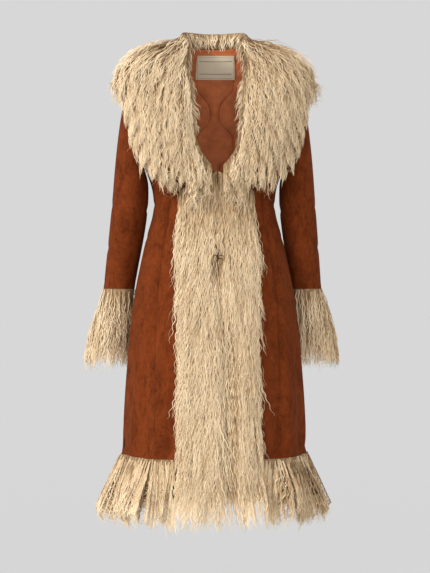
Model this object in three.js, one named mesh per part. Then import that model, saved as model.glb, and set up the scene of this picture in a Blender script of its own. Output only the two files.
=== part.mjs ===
// Knee-length fitted coat in faux suede with long-pile faux fur collar, front bands, hem and cuffs,
// in the form it takes when worn, with no wearer. Millimetres, +Z up, the front faces -Y.
// The origin lies midway between the shoulders, at the height of the side of the neck.
// Left is the wearer's left, at +X.
import * as THREE from "three";

// Driving sizes
const suedeWall = 3;
const liningWall = 1.5;
const labelWall = 1;
const seamGap = 0.4; // between pieces sewn edge to edge
const cornerPower = 2.15; // 2 would make every body section an ellipse
const hemHeight = -929; // lower edge of the suede
const furHemHeight = -1070; // tips of the fur
const underarmHeight = -262;
const shoulderTipHeight = -62;
const backNeckHeight = 10;
const armholeHalfAngle = 28;
const bandWidth = 92; // one front fur band, from the front edge outwards
const openingHeight = -291; // where the fronts meet
const cuffTopHeight = -554;
const cuffTipHeight = -734;
const hookHeight = -483;

// The suede body, all round, with the shoulders: half width, depth in front of and behind the middle
const bodySections = [
  { z: -1080, half: 214, front: 173, back: 177 },
  { z: -929, half: 210, front: 166, back: 169 },
  { z: -833, half: 207, front: 159, back: 161 },
  { z: -729, half: 200, front: 151, back: 153 },
  { z: -637, half: 193, front: 142, back: 145 },
  { z: -566, half: 184, front: 134, back: 138 },
  { z: -483, half: 167, front: 121, back: 125 },
  { z: -428, half: 155, front: 109, back: 112 },
  { z: -392, half: 143, front: 101, back: 98 },
  { z: -355, half: 139, front: 99, back: 93 },
  { z: -325, half: 143, front: 105, back: 96 },
  { z: -262, half: 166, front: 128, back: 111 },
  { z: -215, half: 178, front: 135, back: 119 },
  { z: -170, half: 188, front: 132, back: 124 },
  { z: -120, half: 197, front: 120, back: 121 },
  { z: -85, half: 198, front: 107, back: 113 },
  { z: -62, half: 190, front: 96, back: 106 },
  { z: -20, half: 112, front: 74, back: 88 },
  { z: 0, half: 77, front: 64, back: 79 },
  { z: 12, half: 69, front: 61, back: 75 },
  { z: 60, half: 66, front: 59, back: 72 },
];

// The same body with the sleeve heads in it, which the collar lies over
const collarSections = [
  { z: -360, half: 232, front: 100, back: 96 },
  { z: -313, half: 236, front: 112, back: 102 },
  { z: -244, half: 233, front: 132, back: 116 },
  { z: -189, half: 222, front: 137, back: 126 },
  { z: -152, half: 216, front: 133, back: 128 },
  { z: -118, half: 211, front: 124, back: 126 },
  { z: -85, half: 206, front: 112, back: 118 },
  { z: -62, half: 200, front: 103, back: 112 },
  { z: -20, half: 117, front: 77, back: 91 },
  { z: 0, half: 80, front: 66, back: 81 },
  { z: 12, half: 71, front: 62, back: 77 },
  { z: 60, half: 68, front: 60, back: 74 },
];

// Folds of the skirt: where they begin, the fall to their full depth, and the waves round the body
const foldTop = -430;
const foldFall = 480;
const foldWaves = [
  { depth: 3.2, count: 9, phase: 0.6 },
  { depth: 1.9, count: 17, phase: 1.9 },
];

// The princess seam on the front, as an angle round the body
const princessSeam = [
  { z: -1080, angle: -49 },
  { z: -929, angle: -49 },
  { z: -745, angle: -46 },
  { z: -545, angle: -42 },
  { z: -430, angle: -40.5 },
  { z: -355, angle: -40 },
  { z: -300, angle: -43 },
  { z: -262, angle: -45 },
  { z: -215, angle: -40 },
  { z: -162, angle: -28 },
];

// The neckline of the suede fronts, under the collar: how far it is from the middle
const frontNeckline = [
  { z: -291, x: 2 },
  { z: -276, x: 32 },
  { z: -246, x: 54 },
  { z: -190, x: 70 },
  { z: -120, x: 74 },
  { z: -60, x: 75 },
  { z: -20, x: 76 },
  { z: 0, x: 77 },
];

// Rows of the body panels from the hem up, at the seams that run down the body
const panelRows = [
  { side: -929, princess: -929, front: -929, back: -929 },
  { side: -868, princess: -868, front: -868, back: -868 },
  { side: -806, princess: -806, front: -806, back: -806 },
  { side: -745, princess: -745, front: -745, back: -745 },
  { side: -684, princess: -684, front: -684, back: -684 },
  { side: -622, princess: -622, front: -622, back: -622 },
  { side: -566, princess: -566, front: -566, back: -566 },
  { side: -514, princess: -514, front: -514, back: -514 },
  { side: -466, princess: -466, front: -466, back: -466 },
  { side: -426, princess: -424, front: -424, back: -426 },
  { side: -394, princess: -390, front: -390, back: -394 },
  { side: -366, princess: -358, front: -358, back: -366 },
  { side: -338, princess: -326, front: -326, back: -338 },
  { side: -312, princess: -288, front: -291, back: -308 },
  { side: -286, princess: -226, front: -235, back: -276 },
  { side: -262, princess: -162, front: -170, back: -244 },
];
const frontNeckRows = [-125, -88, -58, -34, -15, 0]; // above those, at the front edge
const backCentreRows = [-208, -170, -132, -96, -62, -32, -8, 10]; // and at the centre back

// The collar from the centre back (station 0) to the end of the lapel: its neck edge and outer edge
const collarStations = [
  { neckAngle: 90, neckZ: 42, outerAngle: 90, outerZ: -156 },
  { neckAngle: 60, neckZ: 42, outerAngle: 63, outerZ: -154 },
  { neckAngle: 30, neckZ: 39, outerAngle: 34, outerZ: -145 },
  { neckAngle: 0, neckZ: 29, outerAngle: 6, outerZ: -128 },
  { neckAngle: -38, neckZ: 8, outerAngle: -16, outerZ: -148 },
  { neckAngle: -69, neckZ: -42, outerAngle: -31, outerZ: -205 },
  { neckAngle: -76, neckZ: -112, outerAngle: -41, outerZ: -262 },
  { neckAngle: -77, neckZ: -185, outerAngle: -50, outerZ: -303 },
  { neckAngle: -80, neckZ: -246, outerAngle: -53, outerZ: -326 },
  { neckAngle: -89, neckZ: -291, outerAngle: -52, outerZ: -339 },
];

// Thickness of the collar's fur from the neck edge to the outer edge
const collarPile = [
  { across: 0, depth: 7 },
  { across: 0.1, depth: 20 },
  { across: 0.3, depth: 32 },
  { across: 0.6, depth: 31 },
  { across: 0.85, depth: 20 },
  { across: 1, depth: 6 },
];

// Thickness of a front band's fur from the front edge outwards
const bandPile = [
  { across: 0, depth: 13 },
  { across: 0.18, depth: 24 },
  { across: 0.5, depth: 27 },
  { across: 0.82, depth: 22 },
  { across: 1, depth: 6 },
];

// Thickness of the hem's fur by height
const hemPile = [
  { z: -1070, depth: 24 },
  { z: -1050, depth: 36 },
  { z: -1020, depth: 40 },
  { z: -985, depth: 34 },
  { z: -955, depth: 22 },
  { z: -930, depth: 5 },
];

// The sleeve below the armhole: the middle of each ring, and its reach outwards, inwards, forwards and back
const sleeveRings = [
  { z: -325, x: 190, y: 3, out: 42.5, inner: 40, fore: 54, aft: 56 },
  { z: -365, x: 193, y: 8, out: 43, inner: 42.5, fore: 53, aft: 54 },
  { z: -405, x: 197, y: 15, out: 43, inner: 41.5, fore: 51, aft: 52 },
  { z: -445, x: 202, y: 25, out: 42, inner: 40, fore: 49, aft: 50 },
  { z: -490, x: 209, y: 37, out: 40, inner: 38, fore: 47, aft: 48 },
  { z: -554, x: 218, y: 51, out: 37.5, inner: 36, fore: 45, aft: 46 },
  { z: -610, x: 225, y: 59, out: 39, inner: 36, fore: 47, aft: 48 },
  { z: -670, x: 232, y: 63, out: 41, inner: 36, fore: 49, aft: 50 },
  { z: -740, x: 238, y: 66, out: 42, inner: 36, fore: 50, aft: 50 },
];

// Reach of the cuff's fur past the cloth under it, outwards and on the side next to the body
const cuffPile = [
  { z: -740, out: 15, inner: 3 },
  { z: -718, out: 20, inner: 4 },
  { z: -695, out: 22, inner: 4 },
  { z: -660, out: 20, inner: 4 },
  { z: -620, out: 17, inner: 3 },
  { z: -585, out: 10, inner: 3 },
  { z: -554, out: 3, inner: 2 },
];

// Fur locks: staggered courses of tufts, each one course long and two columns of points wide
const courseRows = 3; // rows of points to a course
const lockDepth = 0.38; // part of the pile's thickness
const tipStagger = 12; // every other lock of a free edge ends this much higher
const collarOff = 1; // between the coat and the collar's backing
const bandOff = 1.7; // between the front and the band's backing

// The fur lies lower round the hook: part of the pile's thickness, and how far round the hook it reaches
const hookHollowDepth = 0.55;
const hookHollowHigh = 15;
const hookHollowWide = 20;

// Onion quilting of the lining
const quiltMiddle = 8; // the quilting and the label lie a little to the wearer's left
const quiltColumn = 54; // between two seams at their mean places
const quiltSwing = 20; // each seam to each side of its mean place
const quiltPeriod = 145;
const quiltPuff = 7;
const quiltTop = -61; // plain facing above this
const quiltNeck = -137; // height of a narrow place of the middle column
const liningBottom = -335;
const liningHalfWidth = 118;
const liningOff = 3; // between the backs and the lining
const liningReach = 0.84; // the part of the body's half width that it fills where the body is narrow

// Neck label, bare
const labelHalfWidth = 47;
const labelTop = -3;
const labelBottom = -56;
const labelOff = 0.9; // between the lining and the label

// Colours as seen: rust faux suede, cream fur, rust lining, undyed cotton label, dark bronze hook
const suede = new THREE.MeshStandardMaterial({ color: 0x8a4526, roughness: 0.95, metalness: 0 });
const fur = new THREE.MeshStandardMaterial({ color: 0xdfc9a3, roughness: 0.9, metalness: 0 });
const liningCloth = new THREE.MeshStandardMaterial({ color: 0x96502f, roughness: 0.6, metalness: 0 });
const labelCloth = new THREE.MeshStandardMaterial({ color: 0xd9c5a4, roughness: 0.85, metalness: 0 });
const bronze = new THREE.MeshStandardMaterial({ color: 0x3b2a1e, roughness: 0.45, metalness: 0.9 });

const radians = Math.PI / 180;
const clamp01 = (t) => Math.min(1, Math.max(0, t));
const mix = (a, b, t) => a + (b - a) * t;
const ease = (t) => clamp01(t) ** 2 * (3 - 2 * clamp01(t));

// A smooth curve through one column of a table, level or steady between rows, never overshooting
function smoothColumn(rows, key, column) {
  const at = rows.map((row) => row[key]);
  const value = rows.map((row) => row[column]);
  const order = at[0] < at[at.length - 1] ? 1 : -1;
  const rise = at.slice(1).map((a, i) => (value[i + 1] - value[i]) / (a - at[i]));
  const slope = value.map((_, i) => {
    if (i === 0) return rise[0];
    if (i === rise.length) return rise[i - 1];
    const before = rise[i - 1];
    const after = rise[i];
    return before * after <= 0 ? 0 : (2 * before * after) / (before + after);
  });
  return (x) => {
    let i = 0;
    while (i < rise.length - 1 && order * x > order * at[i + 1]) i += 1;
    const step = at[i + 1] - at[i];
    const t = clamp01((x - at[i]) / step);
    const bend = t * t * (3 - 2 * t);
    const leave = t * (1 - t) ** 2 * step * slope[i];
    const arrive = t * t * (t - 1) * step * slope[i + 1];
    return value[i] + (value[i + 1] - value[i]) * bend + leave + arrive;
  };
}

const halfWidth = smoothColumn(bodySections, "z", "half");
const frontDepth = smoothColumn(bodySections, "z", "front");
const backDepth = smoothColumn(bodySections, "z", "back");
const collarHalf = smoothColumn(collarSections, "z", "half");
const collarFront = smoothColumn(collarSections, "z", "front");
const collarBack = smoothColumn(collarSections, "z", "back");
const princessAngle = smoothColumn(princessSeam, "z", "angle");
const necklineX = smoothColumn(frontNeckline, "z", "x");
const power = (base) => Math.sign(base) * Math.abs(base) ** (2 / cornerPower);

// Soft folds of the skirt, deeper towards the hem: how far the cloth stands out
function skirtFold(angle, z) {
  const fall = ease((foldTop - z) / foldFall);
  const stand = foldWaves.map(({ depth, count, phase }) => depth * Math.cos(count * angle * radians + phase));
  return fall * (stand[0] + stand[1]);
}

function bodyPoint(angle, z) {
  const c = power(Math.cos(angle * radians));
  const s = power(Math.sin(angle * radians));
  const depth = s < 0 ? frontDepth(z) : backDepth(z);
  const fold = skirtFold(angle, z);
  return new THREE.Vector3((halfWidth(z) + fold) * c, (depth + fold) * s, z);
}

function collarPoint(angle, z, over) {
  const c = power(Math.cos(angle * radians));
  const s = power(Math.sin(angle * radians));
  const half = mix(halfWidth(z), collarHalf(z), over);
  const body = s < 0 ? frontDepth(z) : backDepth(z);
  const lifted = s < 0 ? collarFront(z) : collarBack(z);
  return new THREE.Vector3(half * c, mix(body, lifted, over) * s, z);
}

// Outward normal of a surface given by angle and height
function normalOf(surface, angle, z) {
  const a = surface(angle + 0.5, z).sub(surface(angle - 0.5, z));
  const b = surface(angle, z + 1).sub(surface(angle, z - 1));
  return a.cross(b).normalize();
}

const moved = (point, direction, distance) => point.clone().addScaledVector(direction, distance);
const offBody = (angle, z, out) => moved(bodyPoint(angle, z), normalOf(bodyPoint, angle, z), out);

// The angle at which the body is x from the middle, in front
function angleAt(x, z) {
  return -Math.acos(clamp01(x / halfWidth(z)) ** (cornerPower / 2)) / radians;
}

// A closed solid from two grids of points, outer[column][row] and inner[column][row].
// With around, the last column joins the first.
function wallGeometry(outer, inner, around = false) {
  const columns = outer.length;
  const rows = outer[0].length;
  const position = [];
  for (const grid of [outer, inner]) {
    for (const column of grid) {
      for (const p of column) position.push(p.x, p.y, p.z);
    }
  }
  const front = (i, j) => (i % columns) * rows + j;
  const behind = (i, j) => columns * rows + front(i, j);
  const index = [];
  const quad = (a, b, c, d) => index.push(a, b, c, a, c, d);
  const last = around ? columns : columns - 1;
  for (let i = 0; i < last; i += 1) {
    for (let j = 0; j < rows - 1; j += 1) {
      quad(front(i, j), front(i + 1, j), front(i + 1, j + 1), front(i, j + 1));
      quad(behind(i, j), behind(i, j + 1), behind(i + 1, j + 1), behind(i + 1, j));
    }
    const top = rows - 1;
    quad(front(i, 0), behind(i, 0), behind(i + 1, 0), front(i + 1, 0));
    quad(front(i, top), front(i + 1, top), behind(i + 1, top), behind(i, top));
  }
  if (!around) {
    for (let j = 0; j < rows - 1; j += 1) {
      quad(front(0, j), front(0, j + 1), behind(0, j + 1), behind(0, j));
      quad(front(last, j), behind(last, j), behind(last, j + 1), front(last, j + 1));
    }
  }
  const geometry = new THREE.BufferGeometry();
  geometry.setAttribute("position", new THREE.Float32BufferAttribute(position, 3));
  geometry.setIndex(index);
  geometry.computeVertexNormals();
  return geometry;
}

// The same piece for the other side of the coat
function mirrored(geometry) {
  const other = geometry.clone();
  const position = other.getAttribute("position");
  for (let i = 0; i < position.count; i += 1) position.setX(i, -position.getX(i));
  const index = other.getIndex();
  for (let i = 0; i < index.count; i += 3) {
    const second = index.getX(i + 1);
    index.setX(i + 1, index.getX(i + 2));
    index.setX(i + 2, second);
  }
  other.computeVertexNormals();
  return other;
}

const coat = new THREE.Group();
function addPiece(name, geometry, material) {
  const mesh = new THREE.Mesh(geometry, material);
  mesh.name = name;
  coat.add(mesh);
}
function addPair(name, geometry, material) {
  addPiece(`${name}_left`, geometry, material);
  addPiece(`${name}_right`, mirrored(geometry), material);
}

// Grid of points from a function of column and row numbers
function grid(columns, rows, place) {
  return Array.from({ length: columns + 1 }, (_, i) =>
    Array.from({ length: rows + 1 }, (__, j) => place(i, j)),
  );
}

// The armhole on the body, 0 at the shoulder tip, 90 behind, 180 at the underarm
const armholeMiddle = (shoulderTipHeight + underarmHeight) / 2;
const armholeHalf = (shoulderTipHeight - underarmHeight) / 2;
function armhole(turn) {
  return {
    angle: armholeHalfAngle * Math.sin(turn * radians),
    z: armholeMiddle + armholeHalf * Math.cos(turn * radians),
  };
}

// A suede panel between two edges given row by row. topShift moves its upper rows to a shaped top edge.
function suedePanel(columns, left, right, topShift) {
  const rows = left.length - 1;
  const place = (i, j) => {
    const u = i / columns;
    const shift = topShift(u);
    const weight = (j / rows) ** 5;
    const angle = mix(left[j].angle, right[j].angle, u) + shift.angle * weight;
    return { angle, z: mix(left[j].z, right[j].z, u) + shift.z * weight };
  };
  const cut = grid(columns, rows, place);
  const inset = seamGap / 2;
  // Each edge is drawn in by half the gap, along the cloth
  const drawnIn = (points, i, j) => {
    const p = points[i][j].clone();
    const pull = (q) => p.addScaledVector(q.clone().sub(points[i][j]).normalize(), inset);
    if (i === 0) pull(points[1][j]);
    if (i === columns) pull(points[columns - 1][j]);
    if (j === 0) pull(points[i][1]);
    if (j === rows) pull(points[i][rows - 1]);
    return p;
  };
  const faces = [0, -suedeWall].map((out) => {
    const points = cut.map((column) => column.map((c) => offBody(c.angle, c.z, out)));
    return grid(columns, rows, (i, j) => drawnIn(points, i, j));
  });
  return wallGeometry(faces[0], faces[1]);
}

const noShift = () => ({ angle: 0, z: 0 });
const princessEdge = panelRows.map((row) => ({ angle: princessAngle(row.princess), z: row.princess }));
const sideEdge = panelRows.map((row) => ({ angle: 0, z: row.side }));

function frontPanel() {
  const centre = panelRows.map((row) => row.front).concat(frontNeckRows);
  const left = centre.map((z) => ({ angle: angleAt(z < openingHeight ? 1 : necklineX(z), z), z }));
  const right = [...princessEdge];
  const above = frontNeckRows.length;
  for (let k = 1; k <= above; k += 1) right.push(armhole(-90 + (90 * k) / above));
  return suedePanel(6, left, right, noShift);
}

function sideFrontPanel() {
  const notch = princessEdge[princessEdge.length - 1];
  const underarm = sideEdge[sideEdge.length - 1];
  const topShift = (u) => {
    const edge = armhole(-90 - 90 * u);
    return { angle: edge.angle - mix(notch.angle, underarm.angle, u), z: edge.z - mix(notch.z, underarm.z, u) };
  };
  return suedePanel(6, princessEdge, sideEdge, topShift);
}

function backPanel() {
  const left = [...sideEdge];
  const above = backCentreRows.length;
  for (let k = 1; k <= above; k += 1) left.push(armhole(180 - (180 * k) / above));
  const centre = panelRows.map((row) => row.back).concat(backCentreRows);
  const right = centre.map((z) => ({ angle: 90, z }));
  const topShift = (u) => {
    const shoulder = u < 0.5;
    const angle = shoulder ? 0 : 90 * (2 * u - 1);
    const z = shoulder ? mix(shoulderTipHeight, 0, 2 * u) : backNeckHeight * Math.sin(angle * radians);
    return { angle: angle - 90 * u, z: z - mix(shoulderTipHeight, backNeckHeight, u) };
  };
  return suedePanel(10, left, right, topShift);
}

addPair("front", frontPanel(), suede);
addPair("side_front", sideFrontPanel(), suede);
addPair("back", backPanel(), suede);

// Sleeves
const ringColumn = (name) => smoothColumn(sleeveRings, "z", name);
const ring = Object.fromEntries(["x", "y", "out", "inner", "fore", "aft"].map((name) => [name, ringColumn(name)]));

// A point of the sleeve below the armhole, or of the cuff, by how much more it reaches from the sleeve's middle.
// turn is 0 outwards, 90 behind, 180 next to the body.
function sleevePoint(turn, z, more = 0) {
  const c = Math.cos(turn * radians);
  const s = Math.sin(turn * radians);
  const across = (c > 0 ? ring.out(z) : ring.inner(z)) + more;
  const deep = (s > 0 ? ring.aft(z) : ring.fore(z)) + more;
  return new THREE.Vector3(ring.x(z) + across * c, ring.y(z) + deep * s, z);
}

const freeSleeveTop = sleeveRings[0].z;
const capRings = 5;
const armholeGap = 1.3; // between the body and the sleeve's upper edge
const capRound = 0.12; // how far the cap leans out where it leaves the shoulder
const sleeveHang = new THREE.Vector3(0.07, 0.08, -1); // the way the sleeve hangs below the armhole
function capPoint(turn, t) {
  const edge = armhole(turn);
  const atShoulder = 0.5 + 0.5 * Math.cos(turn * radians);
  const from = offBody(edge.angle, edge.z, armholeGap + suedeWall * atShoulder);
  const to = sleevePoint(turn, freeSleeveTop);
  const long = from.distanceTo(to);
  const chord = to.clone().sub(from).normalize();
  const leave = chord.clone();
  leave.x += capRound * atShoulder;
  leave.normalize();
  const arrive = sleeveHang.clone().normalize();
  const t2 = t * t;
  const t3 = t2 * t;
  return from
    .multiplyScalar(2 * t3 - 3 * t2 + 1)
    .addScaledVector(leave, (t3 - 2 * t2 + t) * long)
    .addScaledVector(to, 3 * t2 - 2 * t3)
    .addScaledVector(arrive, (t3 - t2) * long);
}

function sleeve() {
  const around = 18;
  const armHeights = [-325, -358, -391, -424, -457, -490, -522, -554];
  const outer = Array.from({ length: around }, (_, i) => {
    const turn = (360 * i) / around;
    const cap = Array.from({ length: capRings }, (__, k) => capPoint(turn, k / capRings));
    const arm = armHeights.map((z) => sleevePoint(turn, z));
    return [...cap, ...arm].reverse();
  });
  // The inner face lies one wall's thickness inside the outer one
  const inner = outer.map((column, i) =>
    column.map((p, j) => {
      const a = outer[(i + 1) % around][j].clone().sub(outer[(i + around - 1) % around][j]);
      const b = column[Math.min(j + 1, column.length - 1)].clone().sub(column[Math.max(j - 1, 0)]);
      const normal = a.cross(b);
      if (j === 0) normal.z = 0;
      return moved(p, normal.normalize(), -suedeWall);
    }),
  );
  return wallGeometry(outer, inner, true);
}
addPair("sleeve", sleeve(), suede);

// Height of the locks at a point of a fur piece's grid, with rows counted from the roots to the tips
function lock(column, row) {
  const course = Math.floor(row / courseRows);
  const toTip = (row - course * courseRows) / (courseRows - 1);
  const crest = (column + course) % 2 === 1;
  return crest ? 0.35 + 0.65 * toTip : 0.25 * (1 - toTip);
}
const furDepth = (depth, column, row) => depth * (1 - lockDepth + 1.4 * lockDepth * lock(column, row));

// Collar, in two halves joined at the centre back
const station = Object.fromEntries(
  ["neckAngle", "neckZ", "outerAngle", "outerZ"].map((name) => {
    const rows = collarStations.map((row, k) => ({ at: k / (collarStations.length - 1), value: row[name] }));
    return [name, smoothColumn(rows, "at", "value")];
  }),
);
const collarDepth = smoothColumn(collarPile, "across", "depth");
const collarColumns = 32;
const collarRows = 9;

// Where the collar lies: along runs from the centre back to the lapel's end, across from the neck outwards.
// Its lapel comes off the sleeve heads and down onto the fronts, and round the neck its fur stands upwards.
function collarPlace(along, across) {
  const angle = mix(station.neckAngle(along), station.outerAngle(along), across);
  const z = mix(station.neckZ(along), station.outerZ(along), across);
  const over = 1 - ease((along - 0.72) / 0.28);
  const surface = (a, h) => collarPoint(a, h, over);
  const base = moved(surface(angle, z), normalOf(surface, angle, z), collarOff);
  const a = angle * radians;
  const aboveNeck = new THREE.Vector3(0.6 * Math.cos(a), 0.6 * Math.sin(a), 0.8);
  const neckShare = (1 - ease((along - 0.42) / 0.25)) * (1 - ease((across - 0.5) / 0.4));
  const lift = normalOf(surface, angle, z).lerp(aboveNeck, neckShare).normalize();
  return { base, lift };
}

function collarHalfPiece() {
  const outer = [];
  const inner = [];
  for (let i = 0; i <= collarColumns; i += 1) {
    const along = i / collarColumns;
    const places = Array.from({ length: collarRows + 1 }, (_, j) => collarPlace(along, j / collarRows));
    outer.push(places.map(({ base, lift }, j) => moved(base, lift, furDepth(collarDepth(j / collarRows), i, j))));
    inner.push(places.map(({ base }) => base));
  }
  for (const p of [...outer[0], ...inner[0]]) p.x = seamGap / 2;
  return wallGeometry(outer, inner);
}

addPair("collar", collarHalfPiece(), fur);

// Front bands
const bandDepth = smoothColumn(bandPile, "across", "depth");
const hemDepth = smoothColumn(hemPile, "z", "depth");
const bandColumns = 6;
const bandRows = 39;
const bandTip = 20; // length over which the pile thins to its tips, and the part of it that is left there
const bandTipDepth = 0.8;

// The band's top edge follows the end of the lapel
const lapelEnd = collarStations[collarStations.length - 1];
function bandTopAt(x) {
  let z = openingHeight;
  for (let pass = 0; pass < 6; pass += 1) {
    const across = (angleAt(x, z) - lapelEnd.neckAngle) / (lapelEnd.outerAngle - lapelEnd.neckAngle);
    z = mix(lapelEnd.neckZ, lapelEnd.outerZ, across);
  }
  return z - 2 * seamGap;
}

function bandPlace(across, up) {
  const x = mix(1, bandWidth, across);
  const z = mix(furHemHeight, bandTopAt(x), up);
  return { x, z, angle: angleAt(x, z) };
}

function hookHollow(x, z) {
  const away = ((z - hookHeight) / hookHollowHigh) ** 2 + (x / hookHollowWide) ** 2;
  return 1 - hookHollowDepth * Math.exp(-away);
}

function frontBand() {
  const outer = grid(bandColumns, bandRows, (i, j) => {
    const { x, z, angle } = bandPlace(i / bandColumns, j / bandRows);
    const full = furDepth(bandDepth(i / bandColumns), i, bandRows - j) * hookHollow(x, z);
    const tip = z < furHemHeight + bandTip ? bandTipDepth : 1;
    return offBody(angle, z, bandOff + full * tip);
  });
  const inner = grid(bandColumns, bandRows, (i, j) => {
    const { z, angle } = bandPlace(i / bandColumns, j / bandRows);
    return offBody(angle, z, bandOff);
  });
  return wallGeometry(outer, inner);
}
addPair("front_band", frontBand(), fur);

// Hem bands, from the front band round to the centre back
function hemBand() {
  const columns = 30;
  const rows = 9;
  const place = (i, j) => {
    const z = mix(furHemHeight, hemHeight - seamGap, j / rows);
    const start = angleAt(bandWidth + 1, z);
    return { z, angle: mix(start, 89.9, i / columns) };
  };
  const outer = grid(columns, rows, (i, j) => {
    const { z, angle } = place(i, j);
    const edge = Math.min(1, 0.45 + 0.55 * ease((i / columns) * 9));
    const p = offBody(angle, z, furDepth(hemDepth(z), i, rows - j) * edge);
    if (j === 0 && i % 2 === 0) p.z += tipStagger;
    return p;
  });
  const inner = grid(columns, rows, (i, j) => {
    const { z, angle } = place(i, j);
    return offBody(angle, z, -suedeWall);
  });
  const square = (columnsOfPoints) => {
    columnsOfPoints.at(-1).forEach((p) => {
      p.x = seamGap / 2;
    });
    return columnsOfPoints;
  };
  return wallGeometry(square(outer), square(inner));
}
addPair("hem_band", hemBand(), fur);

// Cuffs
const cuffOut = smoothColumn(cuffPile, "z", "out");
const cuffInner = smoothColumn(cuffPile, "z", "inner");
function cuff() {
  const around = 20;
  const rows = 9;
  const turns = Array.from({ length: around }, (_, i) => (360 * i) / around);
  const height = (j) => mix(cuffTipHeight, cuffTopHeight - seamGap, j / rows);
  const outer = turns.map((turn, i) =>
    Array.from({ length: rows + 1 }, (_, j) => {
      const z = height(j);
      const nextToBody = ease(0.5 - 0.75 * Math.cos((turn - 10) * radians));
      const depth = mix(cuffOut(z), cuffInner(z), nextToBody);
      const p = sleevePoint(turn, z, furDepth(depth, i, rows - j));
      if (j === 0 && i % 2 === 0) p.z += tipStagger;
      return p;
    }),
  );
  const inner = turns.map((turn) =>
    Array.from({ length: rows + 1 }, (_, j) => sleevePoint(turn, height(j), -suedeWall)),
  );
  return wallGeometry(outer, inner, true);
}
addPair("cuff", cuff(), fur);

// Lining of the upper back with onion quilting, on the inside of the back panels
function backAngle(x, z) {
  const c = clamp01(Math.abs(x) / halfWidth(z)) ** (cornerPower / 2);
  const fromMiddle = 90 - Math.acos(c) / radians;
  return 90 - Math.sign(x) * fromMiddle;
}
const insideBack = (x, z, depth) => {
  const fits = Math.min(1, (liningReach * halfWidth(z)) / liningHalfWidth);
  return offBody(backAngle(x * fits, z), z, -suedeWall - liningOff - depth);
};

function quiltWave(z) {
  const turn = (2 * Math.PI * (z - quiltNeck)) / quiltPeriod;
  return -Math.cos(turn) * (1 - 0.18 * Math.cos(2 * turn));
}

function backLining() {
  const cells = 5;
  const split = 3; // columns of points to each quilted cell
  const quiltedRows = 14;
  const rows = 17;
  const seam = (line, z) => {
    if (line === 0) return -liningHalfWidth;
    if (line === cells) return liningHalfWidth;
    const mean = quiltMiddle + (line - cells / 2) * quiltColumn;
    return mean + (line % 2 ? -1 : 1) * -quiltSwing * quiltWave(z);
  };
  const place = (i, j) => {
    const above = (j - quiltedRows) / (rows - quiltedRows);
    const z = above < 0 ? mix(liningBottom, quiltTop, j / quiltedRows) : mix(quiltTop, backNeckHeight - 1, above);
    const cell = Math.min(cells - 1, Math.floor(i / split));
    const across = (i - cell * split) / split;
    return { x: mix(seam(cell, z), seam(cell + 1, z), across), z, across };
  };
  const puffed = grid(cells * split, rows, (i, j) => {
    const { x, z, across } = place(i, j);
    const share = ease((quiltTop - z) / 12) * ease((z - liningBottom) / 12);
    const puff = quiltPuff * Math.sqrt(clamp01(4 * across * (1 - across))) * share;
    return insideBack(x, z, liningWall + puff);
  });
  const plain = grid(cells * split, rows, (i, j) => {
    const { x, z } = place(i, j);
    return insideBack(x, z, 0);
  });
  return wallGeometry(puffed, plain);
}
addPiece("lining_back", backLining(), liningCloth);

function neckLabel() {
  const columns = 12;
  const rows = 4;
  const face = (depth) =>
    grid(columns, rows, (i, j) => {
      const z = mix(labelBottom, labelTop, j / rows);
      const x = quiltMiddle + mix(-labelHalfWidth, labelHalfWidth, i / columns);
      return offBody(backAngle(x, z), z, -suedeWall - liningOff - liningWall - depth);
    });
  return wallGeometry(face(labelOff + labelWall), face(labelOff));
}
addPiece("neck_label", neckLabel(), labelCloth);

// Hook and eye at the waist, in the parting between the bands
const wireRadius = 1.3;
function bentWire(points) {
  const path = new THREE.CatmullRomCurve3(points);
  const section = new THREE.Shape();
  section.absarc(0, 0, wireRadius, 0, 2 * Math.PI, false);
  return new THREE.ExtrudeGeometry(section, { steps: 10, curveSegments: 3, extrudePath: path });
}
const hookOff = 15.6; // in front of the suede, on the backing of the fur
const hookSeat = bodyPoint(-90, hookHeight).y - hookOff;
function closure() {
  const at = (x, y, z) => new THREE.Vector3(x, hookSeat + y, hookHeight + z);
  const eye = [at(13, 0.2, 1), at(8, -1, 3), at(3, -2, 2), at(1, -2, -1.5), at(5, -1, -4), at(12, 0.2, -4)];
  const hook = [at(-13, 0.7, 1), at(-7, -1, 4), at(-3.4, -2.4, 2), at(-2.6, -5.5, -3), at(-2.4, -5, -11)];
  addPiece("closure_eye", bentWire(eye), bronze);
  addPiece("closure_hook", bentWire(hook), bronze);
}
closure();

export default coat;
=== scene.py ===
# Knee-length faux suede coat with long-pile faux fur collar, front bands, hem and cuffs, filled out as worn.
# Metres, +Z up, the front faces -Y and the wearer's left is +X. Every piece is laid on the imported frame.
import math

import bmesh
import bpy
import numpy as np
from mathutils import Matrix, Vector
from mathutils.bvhtree import BVHTree


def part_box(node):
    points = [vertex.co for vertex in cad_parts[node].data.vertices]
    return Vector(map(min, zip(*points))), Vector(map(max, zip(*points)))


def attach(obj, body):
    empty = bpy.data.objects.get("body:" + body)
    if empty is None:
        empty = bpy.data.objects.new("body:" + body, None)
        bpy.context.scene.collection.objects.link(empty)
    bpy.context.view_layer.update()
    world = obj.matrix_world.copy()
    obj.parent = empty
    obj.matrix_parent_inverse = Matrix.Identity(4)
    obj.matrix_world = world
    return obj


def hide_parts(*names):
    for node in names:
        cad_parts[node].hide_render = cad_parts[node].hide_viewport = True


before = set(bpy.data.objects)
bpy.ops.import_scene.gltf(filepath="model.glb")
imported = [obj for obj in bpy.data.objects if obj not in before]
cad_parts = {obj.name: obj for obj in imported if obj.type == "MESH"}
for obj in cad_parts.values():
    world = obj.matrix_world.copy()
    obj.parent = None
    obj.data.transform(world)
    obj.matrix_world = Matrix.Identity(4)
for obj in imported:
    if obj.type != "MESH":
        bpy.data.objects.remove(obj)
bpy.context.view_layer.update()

sides = {"left": 1, "right": -1}
millimetre = 0.001


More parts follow.
